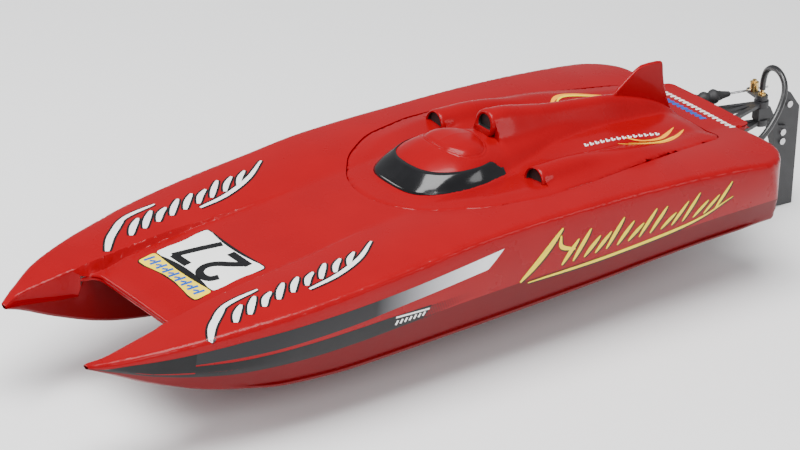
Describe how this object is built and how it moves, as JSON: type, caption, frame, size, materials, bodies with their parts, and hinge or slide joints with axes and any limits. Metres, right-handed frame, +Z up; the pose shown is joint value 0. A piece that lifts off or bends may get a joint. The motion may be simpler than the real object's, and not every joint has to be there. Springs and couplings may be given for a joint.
{
  "type": "rc boat",
  "caption": "Radio-controlled tunnel-hull racing boat with lift-off hatch, motor and shaft, propeller, linked rudder and water cooling.",
  "frame": {"origin": "middle of the bounding box in plan, level with the rudder's lowest point", "axes": "+X to port, +Y aft, +Z up"},
  "size_m": [0.2328, 0.708, 0.1605],
  "materials": {
    "hull_red": "glossy",
    "screen_black": "glossy",
    "black_plastic": "satin",
    "foam_seal": "matte",
    "float_white": "matte",
    "battery_blue": "satin",
    "strap_black": "matte",
    "steel": "brushed",
    "magnet_nickel": "polished",
    "aluminium": "satin",
    "brass": "satin",
    "rubber": "satin",
    "hose_black": "satin"
  },
  "bodies": {
    "hull": {"antenna_tube": "black_plastic", "battery_pack": "battery_blue", "battery_strap": "strap_black", "battery_tray": "black_plastic", "bracket_screws": "steel", "cooling_hose": "hose_black", "deck_magnets": "magnet_nickel", "deck_shell": "hull_red", "drain_plug": "rubber", "esc_case": "black_plastic", "esc_heatsink": "aluminium", "float_foam": "float_white", "hatch_seal": "foam_seal", "hull_shell": "hull_red", "inlet_hose": "hose_black", "motor_can": "steel", "motor_endbell": "black_plastic", "motor_mount": "aluminium", "motor_screws": "steel", "power_switch_body": "black_plastic", "prop_strut": "aluminium", "pushrod_boot": "rubber", "receiver_case": "black_plastic", "rudder_bracket": "black_plastic", "servo_case": "black_plastic", "servo_mount": "black_plastic", "strut_screws": "steel", "stuffing_tube": "brass", "water_inlet": "brass", "water_jacket": "aluminium", "water_outlet": "brass"},
    "hatch": {"hatch_cover": "hull_red", "windscreen": "screen_black", "roof_panel": "hull_red", "scoop_liners": "black_plastic", "hatch_magnets": "magnet_nickel"},
    "drivetrain": {"motor_shaft": "steel", "shaft_coupling": "aluminium", "drive_shaft": "steel", "drive_dog": "brass", "propeller": "black_plastic", "prop_nut": "brass"},
    "rudder": {"rudder_stock": "steel", "steering_arm": "black_plastic", "pickup_nipple": "brass", "rudder_holder": "black_plastic", "rudder_blade": "black_plastic", "blade_screws": "steel"},
    "pushrod": {"pushrod": "steel", "rod_connector": "brass"},
    "servo_horn": {"servo_horn": "black_plastic", "horn_screw": "steel"},
    "switch": {"power_switch_slider": "black_plastic"}
  },
  "joints": [
    {"name": "hatch_lift", "type": "slide", "parent": "hull", "child": "hatch", "axis": [0, 0, 1], "range_m": [0, 0.08]},
    {"name": "prop_spin", "type": "hinge", "parent": "hull", "child": "drivetrain", "pos_m": [0, 0.286, 0.0635], "axis": [0, 0.9896, -0.1439], "continuous": true},
    {"name": "rudder_turn", "type": "hinge", "parent": "hull", "child": "rudder", "pos_m": [0, 0.313, 0.0905], "axis": [0, 0, 1], "range_deg": [-30, 30]},
    {"name": "pushrod_slide", "type": "slide", "parent": "hull", "child": "pushrod", "axis": [0.178, 0.984, 0], "range_m": [-0.0069, 0.0069]},
    {"name": "servo_turn", "type": "hinge", "parent": "hull", "child": "servo_horn", "pos_m": [-0.02421, 0.17917, 0.1015], "axis": [0, 0, 1], "range_deg": [-30.5, 30.5]},
    {"name": "switch_slide", "type": "slide", "parent": "hull", "child": "switch", "axis": [0, 0.9991, -0.0421], "range_m": [0, 0.003]}
  ],
  "couplings": [
    {"joint": "pushrod_slide", "follows": "rudder_turn", "m_per_rad": -0.0129},
    {"joint": "servo_turn", "follows": "rudder_turn", "ratio": 1}
  ]
}
